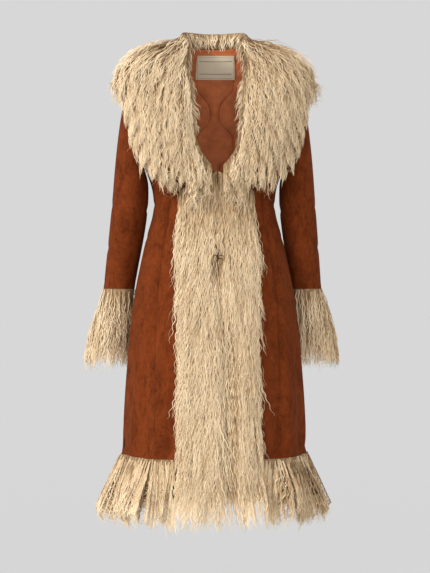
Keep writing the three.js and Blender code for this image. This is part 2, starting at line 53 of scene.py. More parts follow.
def linear(hexColour):
    def toLinear(c):
        return c / 12.92 if c <= 0.04045 else ((c + 0.055) / 1.055) ** 2.4

    return (*(toLinear(int(hexColour[i : i + 2], 16) / 255) for i in (0, 2, 4)), 1)


def addNode(tree, kind, inputs=None, **settings):
    made = tree.nodes.new(kind)
    for name, value in settings.items():
        setattr(made, name, value)
    for name, value in (inputs or {}).items():
        socket = made.inputs[name]
        if isinstance(value, bpy.types.NodeSocket):
            tree.links.new(value, socket)
        else:
            socket.default_value = value
    return made


def addMath(tree, operation, *inputs):
    return addNode(tree, "ShaderNodeMath", dict(enumerate(inputs)), operation=operation).outputs[0]


def addNoise(tree, place, size, detail, **settings):
    # Noise with patches of this many millimetres
    inputs = {"Vector": place, "Scale": 1 / (size * millimetre), "Detail": detail, **settings}
    return addNode(tree, "ShaderNodeTexNoise", inputs).outputs[0]


def addBump(tree, shader, strength, depth, height):
    # Relief from a height, as deep as this many millimetres
    inputs = {"Strength": strength, "Distance": depth * millimetre, "Height": height}
    tree.links.new(addNode(tree, "ShaderNodeBump", inputs).outputs[0], shader.inputs["Normal"])


def colourBy(tree, shader, factor, first, last, *between):
    # The shader's colour along a factor, by stops of a position and a colour
    ramp = addNode(tree, "ShaderNodeValToRGB", {"Fac": factor})
    stops = ramp.color_ramp.elements
    for stop, (position, colour) in zip(stops, (first, last)):
        stop.position = position
        stop.color = colour
    for position, colour in between:
        stops.new(position).color = colour
    tree.links.new(ramp.outputs[0], shader.inputs["Base Color"])


def newMaterial(name, values):
    material = bpy.data.materials.new(name)
    material.use_nodes = True
    shader = material.node_tree.nodes["Principled BSDF"]
    for socket, value in values.items():
        shader.inputs[socket].default_value = value
    return material, material.node_tree, shader


def objectPlace(tree, squeeze=1):
    # Where a texture is read, in metres, with its patches longer downwards where they are squeezed
    place = addNode(tree, "ShaderNodeTexCoord").outputs["Object"]
    if squeeze == 1:
        return place
    return addNode(tree, "ShaderNodeMapping", {"Vector": place, "Scale": (1, 1, squeeze)}).outputs[0]


def setInputs(piece, name, group, values):
    # A Geometry Nodes modifier with its inputs set by their identifiers
    modifier = piece.modifiers.new(name, "NODES")
    modifier.node_group = group
    sockets = {item.name: item.identifier for item in group.interface.items_tree if item.in_out == "INPUT"}
    for socket, value in values.items():
        modifier[sockets[socket]] = value


def addMeshPiece(name, points, faces, material):
    mesh = bpy.data.meshes.new(name)
    mesh.from_pydata(points, [], faces)
    piece = bpy.data.objects.new(name, mesh)
    bpy.context.collection.objects.link(piece)
    mesh.materials.append(material)
    return piece


def plainMesh(piece, name):
    # The modifiers' result as a plain mesh in a new object, with the modifiers gone from the old one
    depsgraph = bpy.context.evaluated_depsgraph_get()
    mesh = bpy.data.meshes.new_from_object(piece.evaluated_get(depsgraph), depsgraph=depsgraph)
    mesh.name = name
    piece.modifiers.clear()
    made = bpy.data.objects.new(name, mesh)
    bpy.context.collection.objects.link(made)
    return made


def dress(piece, slot, *nodes):
    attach(piece, "root")
    if nodes:
        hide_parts(*nodes)


# Camera at the photograph's angle
view = {
    "distance": 3.2,  # metres
    "azimuth": -3.5,  # degrees, from a little to the wearer's right
    "height": -0.5486,
    "aimX": 0.0018,
    "lens": 87.4,  # mm
}
cameraData = bpy.data.cameras.new("camera")
cameraData.lens = view["lens"]
cameraData.clip_end = 60
camera = bpy.data.objects.new("camera", cameraData)
bpy.context.collection.objects.link(camera)
turn = math.radians(view["azimuth"])
camera.location = (
    view["distance"] * math.sin(turn) + view["aimX"] * math.cos(turn),
    -view["distance"] * math.cos(turn) + view["aimX"] * math.sin(turn),
    view["height"],
)
camera.rotation_euler = (math.pi / 2, 0, turn)
bpy.context.scene.camera = camera
bpy.context.scene.view_settings.view_transform = "Standard"
print("camera set")

# Studio: a plain pale floor in even light, a soft key from the upper left
studio = {
    "backdrop": "D7D7D7",
    "floorHeight": -1.75,  # metres, well below the hem
    "floorRadius": 60,
    "floorColour": "D1D1D1",
    "keyPower": 2.3,
    "keyTurn": -52,  # degrees, to the left of the camera
    "keyRise": 26,  # degrees above it
    "keySoftness": 14,  # degrees across
    "fillPower": 0.95,
    "fillTurn": -4,
    "fillRise": 12,
    "fillSoftness": 40,
}


def addSun(name, power, azimuth, rise, softness):
    data = bpy.data.lights.new(name, "SUN")
    data.energy = power
    data.angle = math.radians(softness)
    sun = bpy.data.objects.new(name, data)
    bpy.context.collection.objects.link(sun)
    sun.rotation_euler = (math.radians(90 - rise), 0, math.radians(azimuth))


def addStudio():
    world = bpy.data.worlds.new("studio")
    bpy.context.scene.world = world
    world.use_nodes = True
    world.node_tree.nodes["Background"].inputs["Color"].default_value = linear(studio["backdrop"])
    floorPaint, _, _ = newMaterial("matt studio floor paint", {
        "Base Color": linear(studio["floorColour"]), "Roughness": 1.0, "Specular IOR Level": 0.0,
    })
    count = 96
    ring = [2 * math.pi * i / count for i in range(count)]
    points = [
        (studio["floorRadius"] * math.cos(a), studio["floorRadius"] * math.sin(a), studio["floorHeight"])
        for a in ring
    ]
    floor = addMeshPiece("studioFloor", points, [list(range(count))], floorPaint)
    addSun("keyLight", studio["keyPower"], studio["keyTurn"], studio["keyRise"], studio["keySoftness"])
    addSun("fillLight", studio["fillPower"], studio["fillTurn"], studio["fillRise"], studio["fillSoftness"])


addStudio()
print("studio set")


# Brushed faux suede: microfibre knit with a raised nap, which leaves soft lighter and darker patches
suede = {
    "base": "6A2F10",
    "dark": "4E200A",
    "light": "7C391A",
    "patch": 30,  # mm, a patch of nap brushed one way
    "streak": 7,  # mm
    "nap": 1.8,  # mm, coarser than real fibre so that it shows
    "seamDip": 7.0,  # mm, the cloth rolls in at the princess and side seams
    "flatDip": 1.3,  # mm, at the flatter seams of the back and the sleeves
}


def suedeMaterial():
    material, tree, shader = newMaterial("brushed faux suede", {
        "Roughness": 0.92, "Specular IOR Level": 0.08, "Sheen Weight": 0.04, "Sheen Roughness": 0.4,
        "Sheen Tint": linear("C98A5E"),
    })
    stretched = objectPlace(tree, 0.55)
    patch = addNoise(tree, stretched, suede["patch"], 6, Roughness=0.66, Distortion=1.1)
    streak = addNoise(tree, stretched, suede["streak"], 3, Roughness=0.7, Distortion=0.6)
    nap = addNoise(tree, objectPlace(tree), suede["nap"], 2, Roughness=0.6)
    # Patches 0.5, streaks 0.3 and nap 0.2 of the tone
    tone = addMath(tree, "MULTIPLY_ADD", patch, 0.5, 0.0)
    tone = addMath(tree, "MULTIPLY_ADD", streak, 0.3, tone)
    tone = addMath(tree, "MULTIPLY_ADD", nap, 0.2, tone)
    colourBy(tree, shader, tone, (0.38, linear(suede["dark"])), (0.64, linear(suede["light"])),
             (0.5, linear(suede["base"])))
    addBump(tree, shader, 0.3, 0.5, tone)
    return material


# Long acrylic pile: pale matt tips over warmer, darker roots, whose darkness is painted shade between the
# locks, each lock streaked along its hairs. The map runs from root to tip and has a row for each tone, so a
# colour is the same wherever the map is read.
fur = {
    # The root colour is painted shade that falls between the locks
    "shadedRootColour": "6E5233",
    "midColour": "C6A67C",
    "tipColour": "EBD4AF",
    "tones": 48,  # tones that a lock may have
    "hairs": 4,  # streaks across one lock
}


def furMaterial():
    material, tree, shader = newMaterial("wavy acrylic faux fur", {
        "Roughness": 0.6, "Specular IOR Level": 0.3, "Sheen Weight": 0.1,
    })
    lockMap = addNode(tree, "ShaderNodeUVMap", uv_map="OFBake").outputs[0]
    toTip, up, _ = addNode(tree, "ShaderNodeSeparateXYZ", {0: lockMap}).outputs
    height = addMath(tree, "MULTIPLY", up, fur["tones"])
    row = addMath(tree, "FLOOR", height)
    tone = addNode(tree, "ShaderNodeTexWhiteNoise", {"W": row}, noise_dimensions="1D").outputs[0]
    hairPlace = addNode(tree, "ShaderNodeCombineXYZ", {
        0: addMath(tree, "MULTIPLY", toTip, 2.5),
        1: addMath(tree, "MULTIPLY", addMath(tree, "FRACT", height), fur["hairs"]),
        2: addMath(tree, "MULTIPLY", row, 3.7),
    }).outputs[0]
    hair = addNode(tree, "ShaderNodeTexNoise", {"Vector": hairPlace, "Scale": 1.0, "Detail": 2}).outputs[0]
    shift = addMath(tree, "MULTIPLY_ADD", tone, 0.3, -0.15)
    shift = addMath(tree, "MULTIPLY_ADD", hair, 0.5, shift)
    # Darker towards the roots: painted shade between the locks
    colourBy(tree, shader, addMath(tree, "ADD", toTip, shift), (0.16, linear(fur["shadedRootColour"])),
             (0.85, linear(fur["tipColour"])), (0.42, linear(fur["midColour"])))
    addBump(tree, shader, 0.5, 0.5, hair)
    return material


def shadedBackingMaterial():
    # The dense base of the pile, which shows only between the locks, coloured darker than them as painted
    # shade deep in the pile
    material, tree, shader = newMaterial("dense pile base", {"Roughness": 0.9})
    colourBy(tree, shader, addNoise(tree, objectPlace(tree, 0.2), 4, 3), (0.3, linear("6B5338")),
             (0.7, linear("A98A62")))
    return material


# Satin-weave polyester lining: smooth, with a faint weave and a soft gloss on its puffs
lining = {
    # Base and dark are lighter than the lining's own rust: painted light for the inside of the coat, which
    # the lamps barely reach
    "base": "DE7B42",
    "dark": "C26735",
    "thread": 0.9,  # mm, coarser than real thread so that it shows
    # The quilting thread is darker than the lining: partly the thread's own colour, partly painted shade of
    # the dips along the quilting seams
    "shadedThreadColour": "6E351B",
}


def liningMaterial():
    material, tree, shader = newMaterial("quilted satin lining", {"Roughness": 0.5, "Sheen Weight": 0.1})
    place = objectPlace(tree)
    colourBy(tree, shader, addNoise(tree, place, 30, 3), (0.35, linear(lining["dark"])),
             (0.65, linear(lining["base"])))
    weave = addNode(tree, "ShaderNodeTexWave", {
        "Vector": place, "Scale": 1 / (2 * lining["thread"] * millimetre), "Distortion": 1.5,
    }, bands_direction="Z").outputs[1]
    relief = addMath(tree, "MULTIPLY_ADD", weave, 0.08, addNoise(tree, place, 12, 2))
    addBump(tree, shader, 0.6, 3, relief)
    return material


def clothMaterial(name, hexColour, threadSize, roughness):
    # A plain woven cloth or thread, with its weave as bump
    material, tree, shader = newMaterial(name, {"Roughness": roughness})
    inputs = {"Vector": objectPlace(tree), "Scale": 1 / (2 * threadSize * millimetre)}
    threads = [addNode(tree, "ShaderNodeTexWave", inputs, bands_direction=way).outputs[1] for way in "XZ"]
    weave = addMath(tree, "MAXIMUM", *threads)
    colour = linear(hexColour)
    shade = (*(0.72 * c for c in colour[:3]), 1)
    colourBy(tree, shader, weave, (0, shade), (1, colour))
    addBump(tree, shader, 0.4, 0.2, weave)
    return material


def wireMaterial():
    # Lacquered wire: dark, with a worn gloss
    material, tree, shader = newMaterial("dark lacquered wire", {"Metallic": 0.5, "Roughness": 0.42})
    wear = addNoise(tree, objectPlace(tree), 2, 2)
    colourBy(tree, shader, wear, (0, linear("3B2614")), (1, linear("8A6236")))
    return material


suedeCloth = suedeMaterial()
furPile = furMaterial()
shadedPileBase = shadedBackingMaterial()
liningCloth = liningMaterial()
labelCloth = clothMaterial("woven cotton label", "F3E3C6", 0.7, 0.85)
labelThread = clothMaterial("brown label thread", "6B4A2E", 0.5, 0.8)
quiltThread = clothMaterial("quilting thread", lining["shadedThreadColour"], 0.4, 0.7)
wire = wireMaterial()
print("materials made")


def tableOf(columns, *values):
    return [dict(zip(columns.split(), row)) for row in values]


# Suede panels: the frame's walls smoothed, with the cloth's creases worked into them. Each crease is a soft
# trough or ridge, by its angle round the body (front middle -90, side 0, back 90) and its height z. It runs
# this far each way, falls this much per metre run, and has this half width and depth out.
bodyCreases = tableOf(
    "angle z run fall width out",
    (-52, -0.352, 0.075, -0.30, 0.007, -0.0030),
    (-46, -0.378, 0.060, -0.15, 0.008, 0.0022),
    (-30, -0.402, 0.070, 0.25, 0.008, -0.0028),
    (-22, -0.335, 0.050, 0.55, 0.008, -0.0026),
    (-12, -0.430, 0.055, -0.35, 0.008, -0.0022),
    (8, -0.368, 0.080, -0.20, 0.008, -0.0030),
    (38, -0.345, 0.090, 0.18, 0.009, -0.0032),
    (55, -0.380, 0.080, -0.12, 0.009, -0.0028),
    (74, -0.402, 0.070, 0.22, 0.008, 0.0022),
    (70, -0.318, 0.060, -0.30, 0.008, -0.0024),
    (58, -0.268, 0.055, 0.50, 0.009, -0.0022),
    (44, -0.222, 0.050, 0.80, 0.009, -0.0020),
)
# Soft folds that fall down the skirt: angle, top, bottom, half width and depth out at the bottom
skirtFolds = tableOf(
    "angle top bottom width out",
    (-57, -0.52, -0.93, 0.011, -0.0062),
    (-38, -0.46, -0.93, 0.011, -0.0080),
    (-28, -0.55, -0.93, 0.012, 0.0050),
    (-13, -0.50, -0.93, 0.013, -0.0072),
    (12, -0.58, -0.93, 0.015, -0.0056),
    (30, -0.48, -0.93, 0.016, 0.0044),
    (47, -0.52, -0.93, 0.014, -0.0060),
    (68, -0.60, -0.93, 0.015, 0.0042),
    (82, -0.50, -0.93, 0.012, -0.0050),
)
# Creases of the sleeve, by the angle round it (outwards 0, behind 90, next to the body 180, front 270)
sleeveCreases = tableOf(
    "angle z run fall width out",
    (285, -0.300, 0.050, 0.55, 0.008, -0.0032),
    (300, -0.352, 0.045, 0.35, 0.007, -0.0028),
    (262, -0.392, 0.050, 0.50, 0.007, -0.0034),
    (290, -0.425, 0.040, -0.40, 0.007, 0.0026),
    (335, -0.466, 0.045, 0.40, 0.007, -0.0028),
    (250, -0.512, 0.040, 0.25, 0.007, -0.0024),
    (20, -0.375, 0.050, -0.45, 0.008, -0.0026),
    (70, -0.405, 0.050, 0.35, 0.008, -0.0032),
    (110, -0.448, 0.045, -0.30, 0.008, -0.0030),
    (60, -0.520, 0.045, 0.30, 0.007, -0.0022),
    (180, -0.372, 0.040, 0.20, 0.007, -0.0024),
)


hemLine = -0.929  # where the suede ends
sleeveEnd = -0.553


def angleBetween(a, b):
    return (a - b + 180) % 360 - 180


def creaseDepth(angle, z, radius, creases):
    depth = np.zeros_like(z)
    for crease in creases:
        run = np.radians(angleBetween(angle, crease["angle"])) * radius
        off = (z - crease["z"]) - crease["fall"] * run
        along = np.clip(1 - (run / crease["run"]) ** 2, 0, 1)
        depth += crease["out"] * along**1.5 * np.exp(-((off / crease["width"]) ** 2))
    return depth


def foldDepth(angle, z, radius, folds):
    depth = np.zeros_like(z)
    for fold in folds:
        across = np.radians(angleBetween(angle, fold["angle"])) * radius
        down = np.clip((fold["top"] - z) / (fold["top"] - fold["bottom"]), 0, 1)
        depth += fold["out"] * down * np.exp(-((across / (fold["width"] * (0.6 + 0.7 * down))) ** 2))
    return depth


def meshPoints(mesh):
    points = np.empty(3 * len(mesh.vertices))
    mesh.vertices.foreach_get("co", points)
    return points.reshape(-1, 3)


def sleeveMiddle(z):
    # The middle of the left sleeve at a height, from the frame's own sleeve
    points = meshPoints(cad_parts["sleeve_left"].data)
    levels = np.unique(np.round(points[points[:, 2] < -0.32][:, 2], 3))
    middles = []
    for level in levels:
        ring = points[np.abs(points[:, 2] - level) < 0.002]
        middles.append((ring[:, :2].min(0) + ring[:, :2].max(0)) / 2)
    middles = np.array(middles)
    return np.interp(z, levels, middles[:, 0]), np.interp(z, levels, middles[:, 1])


def smoothWall(nodeName, creaseAngle=48):
    # A smooth copy of one of the frame's walls, its cut edges kept. Its rim's points are marked.
    rimAngle = 48
    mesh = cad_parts[nodeName].data.copy()
    form = bmesh.new()
    form.from_mesh(mesh)
    bmesh.ops.remove_doubles(form, verts=form.verts, dist=0.02 * millimetre)
    bmesh.ops.join_triangles(
        form, faces=form.faces, angle_face_threshold=math.radians(35), angle_shape_threshold=math.radians(80)
    )
    crease = form.edges.layers.float.new("crease_edge")
    rim = form.verts.layers.float.new("rim")
    for edge in form.edges:
        if len(edge.link_faces) == 2:
            angle = math.degrees(edge.calc_face_angle())
            if angle > rimAngle:
                for vertex in edge.verts:
                    vertex[rim] = 1.0
            if angle > creaseAngle:
                edge[crease] = 1.0
    form.to_mesh(mesh)
    form.free()
    piece = bpy.data.objects.new(nodeName + "Source", mesh)
    bpy.context.collection.objects.link(piece)
    smooth = piece.modifiers.new("smooth", "SUBSURF")
    smooth.levels = smooth.render_levels = 2
    made = plainMesh(piece, nodeName + "Cloth")
    bpy.data.objects.remove(piece)
    made.data.materials.clear()
    for face in made.data.polygons:
        face.use_smooth = True
    return made


def rimShare(mesh):
    # How near each point is to a cut edge: 1 on it, 0 from the frame's next row of points on
    share = np.zeros(len(mesh.vertices), dtype=np.float32)
    mesh.attributes["rim"].data.foreach_get("value", share)
    mesh.attributes.remove(mesh.attributes["rim"])
    return share


def sharpenRims(piece):
    form = bmesh.new()
    form.from_mesh(piece.data)
    for edge in form.edges:
        if len(edge.link_faces) == 2 and edge.calc_face_angle() > math.radians(50):
            edge.smooth = False
    form.to_mesh(piece.data)
    form.free()


def suedePanel(nodeName, side):
    piece = smoothWall(nodeName)
    share = rimShare(piece.data)
    points = meshPoints(piece.data)
    x, y, z = points[:, 0] * side, points[:, 1], points[:, 2]
    if nodeName.startswith("sleeve"):
        midX, midY = sleeveMiddle(np.maximum(z, sleeveEnd))
        out = np.stack([x - midX, y - midY, 0 * z], 1)
        angle = np.degrees(np.arctan2(out[:, 1], out[:, 0])) + 7 * side
        depth = creaseDepth(angle, z, 0.045, sleeveCreases)
        depth *= np.clip((-0.24 - z) / 0.05, 0, 1) * np.clip((z - sleeveEnd) / 0.02, 0, 1)
        dip = share**2 * (z > -0.54) * suede["flatDip"]
    else:
        out = np.stack([x, y, 0 * z], 1)
        angle = np.degrees(np.arctan2(y, x)) + 4 * side
        depth = creaseDepth(angle, z, 0.13, bodyCreases) + foldDepth(angle, z, 0.18, skirtFolds)
        depth *= np.clip((z - hemLine) / 0.012, 0.25, 1)
        dip = share**3 * (z > -0.92) * suede["flatDip" if nodeName.startswith("back") else "seamDip"]
    depth -= dip * millimetre
    out /= np.linalg.norm(out, axis=1)[:, None]
    points[:, 0] = (x + out[:, 0] * depth) * side
    points[:, 1] = y + out[:, 1] * depth
    piece.data.vertices.foreach_set("co", points.ravel())
    piece.data.update()
    sharpenRims(piece)
    piece.data.materials.append(suedeCloth)
    dress(piece, "suede", nodeName)
    return piece


cloth = {}
for panel in ("front", "side_front", "back", "sleeve"):
    for side, sign in sides.items():
        cloth[f"{panel}_{side}"] = suedePanel(f"{panel}_{side}", sign)
print("suede panels laid")


# Fur: a dense base pad on the backing of each fur piece, then locks grown from it. In metres, trim is how
# much of a pad's lower end is locks alone, and under how far below the frame's outer face the pad stays.
pad = {
    "collar": {
        "under": 0.006,
        "trim": 0.052,
        "lip": 0.018,  # fur on the inner side of the neck edge
        "edge": 0.024,  # width along the neck edge in which the fur turns over it
        "roll": 1.5,  # how much fuller the roll beside the neck stands
        "spread": 0.50,  # how far the fur falls outwards at the neck, and less below it
    },
    "band": {
        "depth": 0.010,
        "edge": 0.018,
        "trim": 0.060,
        "start": 0.0016,  # from the middle of the coat
        "width": 0.083,
        "part": 0.018,  # where the fur of the left band parts, from the middle
        "partHalf": 0.014,
        "partTop": -0.54,
    },
    "hem": {"under": 0.009, "trim": 0.046, "lean": 0.34},
    "cuff": {"under": 0.008, "trim": 0.038},
}
# Locks to a square metre of pad, sizes in metres, points along a lock, and how far its tip is drawn to its
# clump's
locks = dict(zip(("collar", "band", "hem", "cuff"), tableOf(
    "density length width rise points gather seed",
    (34000, 0.095, 0.0019, 0.010, 22, 0.50, 11),
    (34000, 0.110, 0.0019, 0.009, 24, 0.45, 23),
    (44500, 0.110, 0.0022, 0.010, 20, 0.15, 37),
    (32000, 0.080, 0.0018, 0.011, 20, 0.18, 51),
)))
hookPlace = {"z": -0.483, "half": 0.017}  # metres, half its width with room beside it


def meshTree(mesh):
    return BVHTree.FromPolygons([v.co for v in mesh.vertices], [list(p.vertices) for p in mesh.polygons])


padNodes = {"collar": "collar", "band": "front_band", "hem": "hem_band", "cuff": "cuff"}
trees = {kind: meshTree(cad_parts[node + "_left"].data) for kind, node in padNodes.items()}


def innerFace(tree, origin, direction):
    # Where a line from inside the coat first meets a fur piece: its backing
    return tree.ray_cast(Vector(origin), Vector(direction), 0.6)[0]


def heightRange(tree, low, high, originAt, direction):
    # The lowest and highest place at which lines at this station meet the piece
    step = 0.003
    hits = [z for z in np.arange(low, high, step) if innerFace(tree, originAt(z), direction)]
    if not hits:
        return None

    def refined(inside, outside):
        for _ in range(7):
            middle = (inside + outside) / 2
            if innerFace(tree, originAt(middle), direction):
                inside = middle
            else:
                outside = middle
        return inside

    return refined(min(hits), min(hits) - step), refined(max(hits), max(hits) + step)


def smoothed(grid, passes, around=False):
    # Evens out the frame's facets inside a grid of places and leaves its rim
    for _ in range(passes):
        ends = (grid[-1:], grid[:1]) if around else (grid[:1], grid[-1:])
        wide = np.concatenate([ends[0], grid, ends[1]])
        sideways = (wide[:-2] + wide[2:]) / 2
        inside = grid.copy()
        inside[:, 1:-1] = (grid[:, 1:-1] * 2 + sideways[:, 1:-1] + (grid[:, :-2] + grid[:, 2:]) / 2) / 4
        if not around:
            inside[0] = grid[0]
            inside[-1] = grid[-1]
        grid = inside
    return grid


def unit(vectors):
    return vectors / np.maximum(np.linalg.norm(vectors, axis=-1, keepdims=True), 1e-9)


def gridNormals(grid, towards, around=False):
    if around:
        wide = np.concatenate([grid[-1:], grid, grid[:1]])
        across = wide[2:] - wide[:-2]
    else:
        across = np.gradient(grid, axis=0)
    normal = unit(np.cross(across, np.gradient(grid, axis=1)))
    normal = normal * np.sign((normal * towards).sum(-1, keepdims=True))
    return unit(smoothed(normal, 4, around))


def padDepth(tree, base, normal, under, around=False):
    # How thick the frame's fur is over each place, less the room that the locks take
    far = 0.045  # outside the fur, from where its outer face is looked for
    depth = np.zeros(base.shape[:2])
    for i, column in enumerate(base):
        for j, spot in enumerate(column):
            start = Vector(spot + normal[i, j] * far)
            found = tree.ray_cast(start, Vector(-normal[i, j]), far - 0.001)
            depth[i, j] = far - (found[3] or far) - under
    depth = smoothed(np.clip(depth, 0.0012, 0.018), 5, around)
    depth[:, 0] = np.minimum(depth[:, 0], 0.004)
    return depth


def edgeRise(distance, edge):
    # A rounded edge: 0 at the rim, 1 from the edge's width inwards
    t = np.clip(distance / edge, 0, 1)
    return np.sqrt(t * (2 - t))


def alongSurface(direction, normal):
    return unit(direction - normal * (direction * normal).sum(-1, keepdims=True))


# What the locks read from each place of a pad: the way they lie and the way they stand off, how close they
# grow, their share of the length and of the rise, whether they are kept off the cloth and within the frame's
# fur, and how far along the root to tip colours, past the painted shade at the roots, they start
lockReads = ("flow", "rise", "cover", "reach", "lift", "guard", "leash", "pale")


def patch(base, normal, depth, flow, rise=None, around=False, **shares):
    # One grid of a pad: where its backing is, its depth and what its locks read
    full = np.ones(base.shape[:2])
    made = {
        "base": base, "normal": normal, "depth": depth * full, "flow": flow,
        "rise": normal if rise is None else rise, "around": around,
    }
    usual = {"cover": 1.0, "reach": 1.0, "lift": 1.0, "guard": 1.0, "leash": 1.0, "pale": 0.02}
    for key, share in {**usual, **shares}.items():
        made[key] = share * full
    return made


def padPiece(name, patches, sign):
    # A closed pad between the backing and its outer face, which carries what the locks read
    offBacking = 0.0004
    points, faces = [], []
    held = {key: [] for key in lockReads}
    side = np.array([sign, 1, 1])
    for part in patches:
        base, normal = part["base"] * side, part["normal"] * side
        columns, rowCount = base.shape[:2]
        size = columns * rowCount
        start = sum(len(p) for p in points)
        points.append((base + normal * part["depth"][..., None]).reshape(-1, 3))
        points.append((base + normal * offBacking).reshape(-1, 3))
        for key in ("flow", "rise"):
            held[key] += [(part[key] * side).reshape(-1, 3)] * 2
        # No lock grows from the back
        held["cover"] += [part["cover"].ravel(), 0 * part["cover"].ravel()]
        for key in ("reach", "lift", "guard", "leash", "pale"):
            held[key] += [part[key].ravel()] * 2

        def at(i, j, layer=0):
            return start + layer * size + (i % columns) * rowCount + j

        end = rowCount - 1
        last = columns if part["around"] else columns - 1
        for i in range(last):
            for j in range(end):
                faces.append([at(i, j), at(i + 1, j), at(i + 1, j + 1), at(i, j + 1)])
                faces.append([at(i, j, 1), at(i, j + 1, 1), at(i + 1, j + 1, 1), at(i + 1, j, 1)])
            faces.append([at(i, 0), at(i, 0, 1), at(i + 1, 0, 1), at(i + 1, 0)])
            faces.append([at(i, end), at(i + 1, end), at(i + 1, end, 1), at(i, end, 1)])
        if not part["around"]:
            for j in range(end):
                faces.append([at(0, j), at(0, j + 1), at(0, j + 1, 1), at(0, j, 1)])
                faces.append([at(last, j), at(last, j, 1), at(last, j + 1, 1), at(last, j + 1)])
    piece = addMeshPiece(name, np.concatenate(points).tolist(), faces, shadedPileBase)
    form = bmesh.new()
    form.from_mesh(piece.data)
    bmesh.ops.recalc_face_normals(form, faces=form.faces)
    form.to_mesh(piece.data)
    form.free()
    for key, parts in held.items():
        values = np.concatenate(parts).astype(np.float32)
        vector = values.ndim == 2
        made = piece.data.attributes.new(key, "FLOAT_VECTOR" if vector else "FLOAT", "POINT")
        made.data.foreach_set("vector" if vector else "value", values.ravel())
    for face in piece.data.polygons:
        face.use_smooth = True
    return piece


def bothSides(name, patches):
    return [padPiece(f"{name}_{side}", patches, sign) for side, sign in sides.items()]


def radial(points):
    flat = np.array(points, dtype=float)
    flat[..., 2] = 0
    return unit(flat)


def ease(t):
    t = np.clip(t, 0, 1)
    return t * t * (3 - 2 * t)


def paleTop(down):
    # The upper edge of a fur piece shows little of the painted shade at its roots
    return 0.02 + 0.26 * (1 - down) ** 2


def turnWay(angle):
    a = math.radians(angle)
    return (math.cos(a), math.sin(a), 0)


def neckLip(tree, tops):
    # The inner side of the collar's neck edge: up the lapel, then round the neck by the columns' tops
    sizes = pad["collar"]
    rows = 4
    spots, openings = [], []
    for z in np.arange(-0.264, -0.046, 0.007):
        angles = np.arange(-89.5, -60, 0.4)
        reached = [a for a in angles if innerFace(tree, (0, 0, z), turnWay(a))]
        if not reached:
            continue
        edge = reached[0]
        radius = innerFace(tree, (0, 0, z), turnWay(edge)).xy.length
        column = []
        for row in range(rows):
            angle = edge + 0.3 + math.degrees(sizes["lip"] * row / (rows - 1) / radius)
            column.append(tuple(innerFace(tree, (0, 0, z), turnWay(angle)) or column[-1]))
        spots.append(column)
        openings.append((-0.50 * ease((z + 0.25) / 0.1), 0.1, -0.9))
    for angle, top in tops:
        column = []
        for row in range(rows):
            z = top - 0.001 - sizes["lip"] * row / (rows - 1)
            column.append(tuple(innerFace(tree, (0, 0, z), turnWay(angle)) or column[-1]))
        spots.append(column)
        way = turnWay(angle)
        openings.append((-0.25 * way[0], -0.25 * way[1], -1))
    base = smoothed(np.array(spots), 2)
    inwards = -radial(base)
    flow = unit(np.array(openings)[:, None, :] * np.ones((1, rows, 1)))
    # Its locks start part way past the painted shade at the roots
    return patch(base, inwards, 0.0012, flow, reach=0.36, lift=0.6, guard=0.0, leash=0.0, pale=0.3)


def collarPads():
    sizes = pad["collar"]
    tree = trees["collar"]
    rows = 24
    grid, tops, angles, below = [], [], [], []
    for angle in np.concatenate([np.arange(89.6, -56, -2.6), np.arange(-56.5, -85, -1.1)]):
        direction = turnWay(angle)
        reached = heightRange(tree, -0.36, 0.07, lambda z: (0, 0, z), direction)
        if reached is None:
            continue
        low, high = reached
        end = low + sizes["trim"] * min(1, max(0, (angle + 68) / 10))
        end = min(end, high - 0.003)
        spots = [innerFace(tree, (0, 0, z), direction) for z in np.linspace(high - 0.0005, end, rows)]
        grid.append([tuple(s) if s else grid[-1][k] for k, s in enumerate(spots)])
        angles.append(angle)
        below.append(end - low)
        if angle > -64:
            tops.append((angle, high))
    base = smoothed(np.array(grid), 6)
    angles = np.array(angles)[:, None]
    outwards = radial(base)
    normal = gridNormals(base, outwards + [0, 0, 0.02])
    steps = np.linalg.norm(np.diff(base, axis=1), axis=2)
    run = np.concatenate([np.zeros((len(base), 1)), np.cumsum(steps, 1)], 1)
    room = run[:, -1:] - run + np.array(below)[:, None]
    # How far each place is from the neck edge, and which way that edge is
    away = base[:, :, None] - base[None, None, :, 0]
    distance = np.linalg.norm(away, axis=-1)
    nearest = distance.argmin(-1)
    distance = distance.min(-1)
    edgeward = base[nearest, 0] - base
    edgeward[:, 0] = edgeward[:, 1]
    edgeward = unit(smoothed(unit(edgeward), 2))
    atEdge = np.clip(1 - distance / sizes["edge"], 0, 1) * ease((angles + 82) / 12)
    depth = padDepth(tree, base, normal, sizes["under"]) * (1 - 0.25 * atEdge)
    # The end of the lapel falls on over the band
    room = room + 0.065 * ease((-60 - angles) / 8)
    front = ease((angles + 80) / 40)
    spread = front * (sizes["spread"] - 0.44 * ease(run / 0.12))
    way = spread[..., None] * outwards + np.array([0, 0, -1.0]) + 0.30 * atEdge[..., None] * edgeward
    # The end of the lapel turns over, and its fur still hangs straight down
    turned = ease((-62 - angles) / 8)[..., None]
    flow = alongSurface(way, unit(normal * (1 - turned) + outwards * turned))
    rise = unit(normal + 0.8 * atEdge[..., None] * edgeward)
    length = locks["collar"]["length"]
    reach = np.clip(np.minimum(room / length, 0.55 + distance / 0.12), 0.3, 1)
    lift = 1.5 - 0.85 * ease((run - 0.07) / 0.08) - 0.6 * atEdge
    # The roll beside the neck stands fullest
    roll = ease(distance / 0.015) * ease((0.11 - distance) / 0.05) * ease((angles + 45) / 25)
    lift = lift + sizes["roll"] * roll
    # At the neck edge the locks start further past the painted shade at the roots
    main = patch(base, normal, depth, flow, rise, reach=reach, lift=lift, leash=1 - 0.85 * roll,
                 pale=0.02 + 0.4 * atEdge)
    return bothSides("collarPad", [main, neckLip(tree, tops[::-1])])


